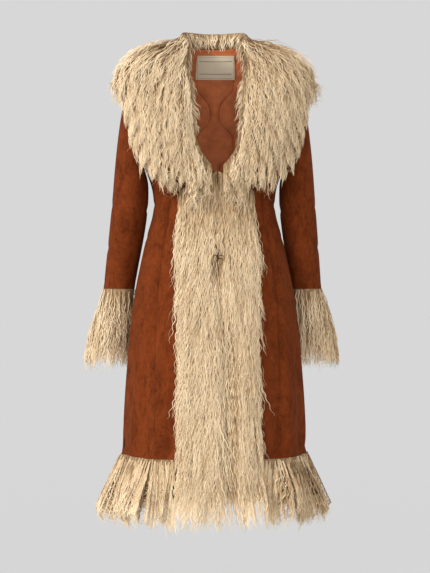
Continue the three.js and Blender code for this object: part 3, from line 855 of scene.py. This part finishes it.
def bandPads():
    sizes = pad["band"]
    tree = trees["band"]
    across = np.linspace(sizes["start"], sizes["width"], 15)
    rows = 70
    grid, lows = [], []
    for x in across:
        low, high = heightRange(tree, -1.08, -0.27, lambda z: (x, 0, z), (0, -1, 0))
        heights = np.linspace(high - 0.0005, low + sizes["trim"], rows)
        grid.append([tuple(innerFace(tree, (x, 0, z), (0, -1, 0))) for z in heights])
        lows.append(low)
    base = smoothed(np.array(grid), 4)
    normal = gridNormals(base, np.array([0, -1, 0]))
    x, z = base[..., 0], base[..., 2]
    length = locks["band"]["length"]
    room = z - np.array(lows)[:, None] + 0.012
    edge = np.minimum(x - across[0] + 0.001, across[-1] - x + 0.001)
    depth = sizes["depth"] * edgeRise(edge, sizes["edge"])
    belowHook = ease((hookPlace["z"] - z) / 0.06)
    parting = np.exp(-((x / 0.022) ** 2))
    outer = ease((x - 0.05) / 0.03) * ease((-0.90 - z) / 0.05)
    # Locks above the hook end before it, and few grow on it
    above = z - hookPlace["z"]
    beside = np.clip(1 - (x / hookPlace["half"]) ** 4, 0, 1)
    shortened = np.clip((above - 0.012) / length, 0.16, 1)
    nearHook = beside * (above > -0.012) * (above < length)
    reach = np.minimum(1 - nearHook * (1 - shortened), np.clip(room / length, 0.3, 1))
    cover = 1 - 0.6 * beside * np.exp(-((above / 0.008) ** 2))
    lift = (1 - 0.3 * parting) * (1 - 0.6 * beside * np.exp(-((above - 0.004) / 0.022) ** 2))
    depth = depth * (1 - 0.4 * beside * np.exp(-((above / 0.012) ** 2)))
    made = []
    for side, sign in sides.items():
        # Above the hook the fur of both bands leans to the middle. Below it the right band's leans further
        # over, and the left band's away from it.
        centre = -0.05 * (1 - belowHook) + (0.13 if sign > 0 else -0.10) * belowHook
        lateral = 0.01 + 0.03 * x / sizes["width"] + centre * parting + 0.10 * outer
        # Further down the left band's fur parts
        off = (x - sizes["part"]) / sizes["partHalf"]
        part = (sign > 0) * ease((sizes["partTop"] - z) / 0.1) * np.exp(-(off**2))
        lateral = lateral + 0.30 * off * part
        flow = alongSurface(lateral[..., None] * np.array([1, 0, 0]) + np.array([0, 0, -1.0]), normal)
        fleece = patch(base, normal, depth * (1 - 0.85 * part), flow, cover=cover * (1 - 0.6 * part),
                       reach=reach, lift=lift * (1 - 0.6 * part), guard=ease((x - 0.03) / 0.02),
                       leash=0.5 * ease((-0.80 - z) / 0.10))
        made.append(padPiece(f"front_bandPad_{side}", [fleece], sign))
    return made


def hemPads():
    sizes = pad["hem"]
    tree = trees["hem"]
    rows = 12
    grid, lows, angles = [], [], []
    for angle in np.linspace(89.7, -66, 84):
        direction = turnWay(angle)
        reached = heightRange(tree, -1.09, -0.91, lambda z: (0, 0, z), direction)
        if reached is None:
            continue
        heights = np.linspace(hemLine - 0.0008, reached[0] + sizes["trim"], rows)
        spots = [innerFace(tree, (0, 0, z), direction) for z in heights]
        if any(s is None for s in spots):
            continue
        grid.append([tuple(s) for s in spots])
        lows.append(reached[0])
        angles.append(angle)
    base = smoothed(np.array(grid), 4)
    base[:, 0, 2] = hemLine - 0.0002
    angles = np.array(angles)[:, None]
    normal = gridNormals(base, radial(base))
    depth = 0.002 + padDepth(tree, base, normal, sizes["under"])
    room = base[..., 2] - np.array(lows)[:, None] + 0.014
    # Towards the band the fur leans over to it
    lean = sizes["lean"] * ease((-34 - angles) / 32)
    flow = unit(np.array([0, 0, -1.0]) + 0.10 * normal - lean[..., None] * np.array([1, 0, 0]))
    reach = np.clip(room / locks["hem"]["length"], 0.3, 1)
    # Closer at its lower edge, where the tips are all that shows
    down = np.linspace(0, 1, rows)[None, :]
    fleece = patch(base, normal, depth, flow, cover=0.82 + 0.68 * down**2, reach=reach, pale=paleTop(down))
    return bothSides("hem_bandPad", [fleece])


def cuffMiddle(z):
    # The middle of the left cuff at a height
    points = meshPoints(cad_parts["cuff_left"].data)
    low, high = points[:, 2].min(), points[:, 2].max()
    topRing = points[points[:, 2] > high - 0.002]
    lowRing = points[points[:, 2] < low + 0.024]
    midTop = (topRing.min(0) + topRing.max(0)) / 2
    midLow = (lowRing.min(0) + lowRing.max(0)) / 2
    share = (high - z) / (high - low)
    return midTop * (1 - share) + midLow * share


def cuffPads():
    sizes = pad["cuff"]
    tree = trees["cuff"]
    low, high = (corner[2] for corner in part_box("cuff_left"))
    heights = np.linspace(high - 0.0005, low + 0.008 + sizes["trim"], 16)
    grid = []
    for angle in np.linspace(0, 360, 48, endpoint=False):
        column = []
        for z in heights:
            middle = cuffMiddle(z)
            column.append(tuple(innerFace(tree, (middle[0], middle[1], z), turnWay(angle))))
        grid.append(column)
    base = smoothed(np.array(grid), 4, around=True)
    base[:, 0, 2] = high + 0.0006
    middle = base.mean(0, keepdims=True)
    normal = gridNormals(base, base - middle, around=True)
    turn = np.arctan2((base - middle)[..., 1], (base - middle)[..., 0])
    outward = 0.5 + 0.5 * np.cos(turn - math.radians(10))
    depth = 0.0015 + padDepth(tree, base, normal, sizes["under"], around=True)
    room = base[..., 2] - low + 0.004
    flow = unit(np.array([0, 0, -1.0]) + (0.10 * outward)[..., None] * normal)
    reach = np.clip(room / locks["cuff"]["length"], 0.3, 1)
    down = np.linspace(0, 1, len(heights))[None, :]
    outer = 0.5 + 0.5 * outward
    cuff = patch(base, normal, depth, flow, around=True, cover=outer * (0.78 + 0.75 * down**2),
                 reach=reach, lift=outer, pale=paleTop(down))
    return bothSides("cuffPad", [cuff])


pads = {"collar": collarPads(), "band": bandPads(), "hem": hemPads(), "cuff": cuffPads()}
print("fur pads laid")


def outwardFaces(name, meshes, limit):
    # The faces that look outwards, of all these meshes in one
    points, faces = [], []
    for key, mesh in meshes.items():
        sign = 1 if key.endswith("left") else -1
        start = sum(len(p) for p in points)
        points.append(meshPoints(mesh))
        for face in mesh.polygons:
            c = face.center
            if key.startswith("cuff"):
                middle = cuffMiddle(c.z)
                out = Vector((c.x - middle[0] * sign, c.y - middle[1], 0))
            elif key.startswith("collar"):
                out = Vector((c.x, c.y, 0.8 * math.hypot(c.x, c.y)))
            elif key.startswith("front_band"):
                out = Vector((0, -1, 0))
            elif not key.startswith("sleeve"):
                out = Vector((c.x, c.y, 0))
            elif c.z > -0.31:
                out = Vector((c.x - 0.12 * sign, c.y, c.z + 0.20))
            else:
                midX, midY = sleeveMiddle(c.z)
                out = Vector((c.x - midX * sign, c.y - midY, 0))
            if face.normal.dot(out.normalized()) > limit:
                faces.append([start + v for v in face.vertices])
    return addMeshPiece(name, np.concatenate(points).tolist(), faces, suedeCloth)


# Geometry Nodes tree that grows the locks: each is a tapered strip that stands off its pad, leans with its
# clump, waves as it falls and keeps off the cloth. Sizes in metres.
curl = {
    "Clump size": 0.017,  # between the middles of two clumps
    "Wave length": 0.024,
    "Wave height": 0.0022,
    "Stray": 0.16,  # how much a clump strays, as a share of its length
    "Clear": 0.0025,  # kept from the cloth
    "Slack": 0.003,  # how far a lock may stand out of the frame's fur
}


def lockTree():
    tree = bpy.data.node_groups.new("furLocks", "GeometryNodeTree")
    face = tree.interface
    face.new_socket(name="Pad", in_out="INPUT", socket_type="NodeSocketGeometry")
    for kind, names in {
        "Float": ("Density", "Lock length", "Lock width", "Rise", "Gather", *curl), "Int": ("Points", "Seed"),
        "Object": ("Cloth", "Form"), "Material": ("Material",),
    }.items():
        for name in names:
            face.new_socket(name=name, in_out="INPUT", socket_type="NodeSocket" + kind)
    face.new_socket(name="Locks", in_out="OUTPUT", socket_type="NodeSocketGeometry")
    given = addNode(tree, "NodeGroupInput").outputs

    def value(operation, *inputs):
        return addMath(tree, operation, *inputs)

    def vector(operation, *inputs):
        made = addNode(tree, "ShaderNodeVectorMath", dict(enumerate(inputs)), operation=operation)
        return made.outputs["Value" if operation == "DOT_PRODUCT" else "Vector"]

    def scaled(way, by):
        return addNode(tree, "ShaderNodeVectorMath", {0: way, "Scale": by}, operation="SCALE").outputs[0]

    def named(name, kind="FLOAT"):
        return addNode(tree, "GeometryNodeInputNamedAttribute", {"Name": name}, data_type=kind).outputs[0]

    def random(low, high, seed):
        inputs = {2: low, 3: high, "Seed": seed}
        return addNode(tree, "FunctionNodeRandomValue", inputs, data_type="FLOAT").outputs[1]

    def store(geometry, name, held, kind="FLOAT", domain="POINT"):
        made = addNode(tree, "GeometryNodeStoreNamedAttribute", data_type=kind, domain=domain, inputs={
            "Geometry": geometry, "Name": name, "Value": held,
        })
        return made.outputs[0]

    flow, rise = named("flow", "FLOAT_VECTOR"), named("rise", "FLOAT_VECTOR")
    closeness = value("MULTIPLY", named("cover"), given["Density"])
    roots = addNode(tree, "GeometryNodeDistributePointsOnFaces", {
        "Mesh": given["Pad"], "Density": closeness, "Seed": given["Seed"],
    }).outputs["Points"]
    place = addNode(tree, "GeometryNodeInputPosition").outputs[0]
    cell = addNode(tree, "ShaderNodeTexVoronoi", {
        "Vector": place, "Scale": value("DIVIDE", 1.0, given["Clump size"]),
    })
    towards = vector("SUBTRACT", cell.outputs["Position"], place)
    towards = vector("SUBTRACT", towards, scaled(rise, vector("DOT_PRODUCT", towards, rise)))
    clumpWay = vector("SUBTRACT", cell.outputs["Color"], (0.5, 0.5, 0.5))
    grown = store(roots, "root", place, "FLOAT_VECTOR")
    grown = store(grown, "toClump", towards, "FLOAT_VECTOR")
    grown = store(grown, "clumpWay", clumpWay, "FLOAT_VECTOR")
    grown = store(grown, "tone", random(0.0, 1.0, 3))
    grown = store(grown, "own", random(-1.0, 1.0, 5))
    grown = store(grown, "turn", random(-1.0, 1.0, 7))
    # One strip of 1 by 1 metre for each root, its places read as shares across and along
    strip = addNode(tree, "GeometryNodeMeshGrid", {"Vertices X": 2, "Vertices Y": given["Points"]}).outputs[0]
    parts = addNode(tree, "ShaderNodeSeparateXYZ", {0: place}).outputs
    strip = store(strip, "across", value("MULTIPLY", parts[0], 2.0))
    strip = store(strip, "along", value("ADD", parts[1], 0.5))
    strands = addNode(tree, "GeometryNodeInstanceOnPoints", {"Points": grown, "Instance": strip}).outputs[0]
    strands = addNode(tree, "GeometryNodeRealizeInstances", {"Geometry": strands}).outputs[0]

    t, across = named("along"), named("across")
    own, turned = named("own"), named("turn")
    clumpWay = named("clumpWay", "FLOAT_VECTOR")
    clumpParts = addNode(tree, "ShaderNodeSeparateXYZ", {0: clumpWay}).outputs
    length = value("MULTIPLY", given["Lock length"], named("reach"))
    length = value("MULTIPLY", length, value("MULTIPLY_ADD", own, 0.12, 0.92))
    length = value("MULTIPLY", length, value("MULTIPLY_ADD", clumpParts[0], 0.20, 1.0))
    run = value("MULTIPLY", length, t)
    # Along the flow
    spot = vector("ADD", named("root", "FLOAT_VECTOR"), scaled(flow, run))
    # Off the pad, quickly at the root and less and less
    stood = value("SUBTRACT", 1.0, value("POWER", value("SUBTRACT", 1.0, t), 3.0))
    stood = value("MULTIPLY", stood, value("MULTIPLY_ADD", clumpParts[1], 0.8, 0.9))
    stood = value("MULTIPLY", stood, value("MULTIPLY_ADD", turned, 0.35, 1.0))
    stood = value("MULTIPLY", value("MULTIPLY", stood, named("lift")), given["Rise"])
    spot = vector("ADD", spot, scaled(rise, stood))
    # Towards the middle of the clump
    drawn = value("MULTIPLY", given["Gather"], value("MULTIPLY", t, value("MULTIPLY_ADD", own, 0.4, 0.8)))
    spot = vector("ADD", spot, scaled(named("toClump", "FLOAT_VECTOR"), drawn))
    # The clump's own way, and a few locks that stray further
    wisp = value("MULTIPLY_ADD", value("GREATER_THAN", own, 0.84), 2.0, 1.0)
    astray = value("MULTIPLY", value("MULTIPLY", given["Stray"], wisp), value("MULTIPLY", run, t))
    spot = vector("ADD", spot, scaled(clumpWay, astray))
    # Gravity, where the flow isn't already down
    flowParts = addNode(tree, "ShaderNodeSeparateXYZ", {0: flow}).outputs
    drop = value("MULTIPLY", value("MULTIPLY", run, t), -0.5)
    drop = value("MULTIPLY", value("ADD", flowParts[2], 1.0), drop)
    spot = vector("ADD", spot, addNode(tree, "ShaderNodeCombineXYZ", {2: drop}).outputs[0])
    # Waves, sideways and off the pad, nearly in step within a clump
    sideways = vector("NORMALIZE", vector("CROSS_PRODUCT", flow, rise))
    phase = value("MULTIPLY_ADD", clumpParts[2], 12.0, value("MULTIPLY", own, 1.3))
    ownLength = value("MULTIPLY", given["Wave length"], value("MULTIPLY_ADD", turned, 0.15, 1.0))
    waves = value("DIVIDE", run, ownLength)
    wave = value("MULTIPLY_ADD", waves, 2 * math.pi, phase)
    swing = value("MULTIPLY", given["Wave height"], value("POWER", t, 0.6))
    swing = value("MULTIPLY", swing, value("MULTIPLY_ADD", clumpParts[1], 0.8, 1.0))
    spot = vector("ADD", spot, scaled(sideways, value("MULTIPLY", swing, value("SINE", wave))))
    lifted = value("MULTIPLY", value("MULTIPLY", swing, 0.7), value("COSINE", wave))
    spot = vector("ADD", spot, scaled(rise, lifted))

    def nearest(target, spot):
        # How far a spot is off an outward skin, and which way that is
        skin = addNode(tree, "GeometryNodeObjectInfo", {"Object": target}).outputs["Geometry"]
        found = []
        for what in (place, addNode(tree, "GeometryNodeInputNormal").outputs[0]):
            inputs = {"Mesh": skin, "Value": what, "Sample Position": spot}
            found.append(
                addNode(tree, "GeometryNodeSampleNearestSurface", inputs, data_type="FLOAT_VECTOR").outputs[0]
            )
        return vector("DOT_PRODUCT", vector("SUBTRACT", spot, found[0]), found[1]), found[1]

    # Not far out of the frame's fur
    off, way = nearest(given["Form"], spot)
    slack = value("MULTIPLY_ADD", own, 0.002, given["Slack"])
    pull = value("MINIMUM", value("MAXIMUM", value("SUBTRACT", off, slack), 0.0), 0.06)
    spot = vector("SUBTRACT", spot, scaled(way, value("MULTIPLY", pull, named("leash"))))
    # Clear of the cloth
    off, way = nearest(given["Cloth"], spot)
    push = value("MAXIMUM", value("SUBTRACT", given["Clear"], off), 0.0)
    push = value("MULTIPLY", value("MINIMUM", push, 0.03), named("guard"))
    spot = vector("ADD", spot, scaled(way, push))
    # A strip that twists a little and tapers to its tip
    taper = value("SUBTRACT", 1.0, value("MULTIPLY", value("POWER", t, 2.5), 0.86))
    half = value("MULTIPLY", value("MULTIPLY", taper, value("MULTIPLY_ADD", own, 0.25, 1.0)),
                 value("MULTIPLY", given["Lock width"], 0.5))
    twist = value("MULTIPLY_ADD", value("MULTIPLY", t, own), 1.2, value("MULTIPLY", turned, 0.8))
    wide = vector("ADD", scaled(sideways, value("COSINE", twist)), scaled(rise, value("SINE", twist)))
    spot = vector("ADD", spot, scaled(wide, value("MULTIPLY", half, across)))
    locksMade = addNode(tree, "GeometryNodeSetPosition", {"Geometry": strands, "Position": spot}).outputs[0]

    # The map that the fur's colour reads: root to tip across, and up to the row of the lock's tone
    toneRow = value("FLOOR", value("MULTIPLY", named("tone"), fur["tones"] - 0.01))
    inRow = value("MULTIPLY_ADD", across, 0.4, 0.5)
    up = value("DIVIDE", value("ADD", toneRow, inRow), float(fur["tones"]))
    # A lock's colour starts this far along, past the painted shade at the roots
    pale = named("pale")
    toTip = value("MULTIPLY_ADD", t, value("SUBTRACT", 0.98, pale), pale)
    lockMap = addNode(tree, "ShaderNodeCombineXYZ", {0: toTip, 1: up}).outputs[0]
    locksMade = store(locksMade, "OFBake", lockMap, "FLOAT2", "CORNER")
    locksMade = addNode(tree, "GeometryNodeSetShadeSmooth", {0: locksMade}).outputs[0]
    locksMade = addNode(tree, "GeometryNodeRealizeInstances", {"Geometry": locksMade}).outputs[0]
    painted = {"Geometry": locksMade, "Material": given["Material"]}
    locksMade = addNode(tree, "GeometryNodeSetMaterial", painted).outputs[0]
    addNode(tree, "NodeGroupOutput", {"Locks": locksMade})
    return tree


def growLocks(padObject, name, sizes, seed):
    setInputs(padObject, "locks", lockGroup, {
        "Density": float(sizes["density"]), "Lock length": sizes["length"], "Lock width": sizes["width"],
        "Rise": sizes["rise"], "Gather": sizes["gather"], "Points": sizes["points"], "Seed": seed, **curl,
        "Cloth": skinObject, "Form": formObject, "Material": furPile,
    })
    made = plainMesh(padObject, name)
    for attribute in (*lockReads, "root", "toClump", "clumpWay", "tone", "own", "turn", "across", "along"):
        if attribute in made.data.attributes:
            made.data.attributes.remove(made.data.attributes[attribute])
    return made


lockGroup = lockTree()
# The cloth that no lock goes into, and the frame's fur that none stands far out of
skinObject = outwardFaces("clothSkin", {key: piece.data for key, piece in cloth.items()}, 0.25)
formObject = outwardFaces("furForm", {
    f"{node}_{side}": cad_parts[f"{node}_{side}"].data for node in padNodes.values() for side in sides
}, 0.5)
for kind, sizes in locks.items():
    for number, (padObject, side) in enumerate(zip(pads[kind], sides)):
        fleece = growLocks(padObject, f"{padNodes[kind]}Locks_{side}", sizes, sizes["seed"] + number)
        print(fleece.name, 2 * len(fleece.data.polygons), "triangles")
        dress(fleece, "fur")
        for attribute in lockReads:
            padObject.data.attributes.remove(padObject.data.attributes[attribute])
        dress(padObject, "fur", f"{padNodes[kind]}_{side}")
bpy.data.objects.remove(skinObject)
bpy.data.objects.remove(formObject)
print("fur grown")


# Lining, its quilting, the label and the closure. In metres: the quilt's wavy columns and its stitches.
quilt = {
    "middle": 0.008,
    "column": 0.054,  # from one column to the next
    "swing": 0.020,
    "period": 0.145,
    "neck": -0.137,  # height at which two columns come nearest
    "top": -0.063,
    "bottom": -0.332,
    "sewing": {"Stitch": 0.0034, "Gap": 0.0016, "Thread": 0.0009},
}


def sewingTree():
    tree = bpy.data.node_groups.new("stitches", "GeometryNodeTree")
    face = tree.interface
    face.new_socket(name="Seams", in_out="INPUT", socket_type="NodeSocketGeometry")
    for name in ("Stitch", "Gap", "Thread"):
        face.new_socket(name=name, in_out="INPUT", socket_type="NodeSocketFloat")
    face.new_socket(name="Material", in_out="INPUT", socket_type="NodeSocketMaterial")
    face.new_socket(name="Stitches", in_out="OUTPUT", socket_type="NodeSocketGeometry")
    given = addNode(tree, "NodeGroupInput").outputs
    seams = addNode(tree, "GeometryNodeMeshToCurve", {"Mesh": given["Seams"]}).outputs[0]
    every = {"Curve": seams, "Length": addMath(tree, "ADD", given["Stitch"], given["Gap"])}
    points = addNode(tree, "GeometryNodeCurveToPoints", every, mode="LENGTH").outputs
    ball = addNode(tree, "GeometryNodeMeshUVSphere", {"Segments": 6, "Rings": 4, "Radius": 1.0}).outputs[0]
    half = addMath(tree, "MULTIPLY", given["Stitch"], 0.5)
    size = addNode(tree, "ShaderNodeCombineXYZ", {0: given["Thread"], 1: given["Thread"], 2: half}).outputs[0]
    sewn = addNode(tree, "GeometryNodeInstanceOnPoints", {
        "Points": points["Points"], "Instance": ball, "Rotation": points["Rotation"], "Scale": size,
    }).outputs[0]
    sewn = addNode(tree, "GeometryNodeRealizeInstances", {"Geometry": sewn}).outputs[0]
    painted = {"Geometry": sewn, "Material": given["Material"]}
    sewn = addNode(tree, "GeometryNodeSetMaterial", painted).outputs[0]
    addNode(tree, "NodeGroupOutput", {"Stitches": sewn})
    return tree


def sew(name, seams, sizes, material, slot):
    points = [p for seam in seams for p in seam]
    edges, start = [], 0
    for seam in seams:
        edges += [(start + i, start + i + 1) for i in range(len(seam) - 1)]
        start += len(seam)
    mesh = bpy.data.meshes.new(name + "Line")
    mesh.from_pydata(points, edges, [])
    line = bpy.data.objects.new(name + "Line", mesh)
    bpy.context.collection.objects.link(line)
    setInputs(line, "sewing", sewingGroup, {**sizes, "Material": material})
    made = plainMesh(line, name)
    bpy.data.objects.remove(line)
    dress(made, slot)
    return made


def frontOf(piece, spots, off):
    # Places on the side of a piece that faces the front, by x and height
    tree = meshTree(piece.data)
    found = []
    for x, z in spots:
        spot = innerFace(tree, (x, 0, z), (0, 1, 0))
        if spot:
            found.append((spot.x, spot.y - off, spot.z))
    return found


def quiltSeam(column):
    heights = np.arange(quilt["bottom"], quilt["top"], 0.004)
    turn = 2 * np.pi * (heights - quilt["neck"]) / quilt["period"]
    wave = -np.cos(turn) * (1 - 0.18 * np.cos(2 * turn))
    mean = quilt["middle"] + (column - 2.5) * quilt["column"]
    return list(zip(mean + (-1 if column % 2 else 1) * -quilt["swing"] * wave, heights))


def layTrim(nodeName, material, slot, **smoothing):
    # A thin piece of the frame, smoothed, in its own cloth
    piece = smoothWall(nodeName, **smoothing)
    rimShare(piece.data)
    sharpenRims(piece)
    piece.data.materials.append(material)
    dress(piece, slot, nodeName)
    return piece


sewingGroup = sewingTree()
liningPiece = layTrim("lining_back", liningCloth, "lining", creaseAngle=24)
quiltLines = [frontOf(liningPiece, quiltSeam(column), 0.0002) for column in range(1, 5)]
quilting = sew("liningStitches", quiltLines, quilt["sewing"], quiltThread, "lining")

label = {
    "inset": 0.0035,  # metres, the border's stitches from the label's edge
    "lineInset": (0.010, 0.013),  # metres, a woven line's ends and height from the label's edge
    "sewing": {"Stitch": 0.0026, "Gap": 0.0012, "Thread": 0.00045},
    "weaving": {"Stitch": 0.0050, "Gap": 0.0, "Thread": 0.0007},
}
labelPiece = layTrim("neck_label", labelCloth, "label")


def evenly(start, end, steps=16):
    return [start + (end - start) * i / steps for i in range(steps + 1)]


def labelBorder():
    low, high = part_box("neck_label")
    left, right = low[0] + label["inset"], high[0] - label["inset"]
    bottom, top = low[2] + label["inset"], high[2] - label["inset"]
    return [
        *([(x, z) for x in evenly(left, right)] for z in (bottom, top)),
        *([(x, z) for z in evenly(bottom, top)] for x in (left, right)),
    ]


def labelLines():
    # Two plain woven lines, one above and one below
    low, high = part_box("neck_label")
    ends, edge = label["lineInset"]
    return [[(x, z) for x in evenly(low[0] + ends, high[0] - ends)] for z in (low[2] + edge, high[2] - edge)]


wovenLines = [frontOf(labelPiece, line, 0.0001) for line in labelLines()]
labelWoven = sew("labelLines", wovenLines, label["weaving"], labelThread, "label")
borderLines = [frontOf(labelPiece, line, 0.0001) for line in labelBorder()]
labelSewing = sew("labelStitches", borderLines, label["sewing"], labelThread, "label")
for nodeName in ("closure_hook", "closure_eye"):
    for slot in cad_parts[nodeName].material_slots:
        slot.material = wire
print("lining, label and closure finished")
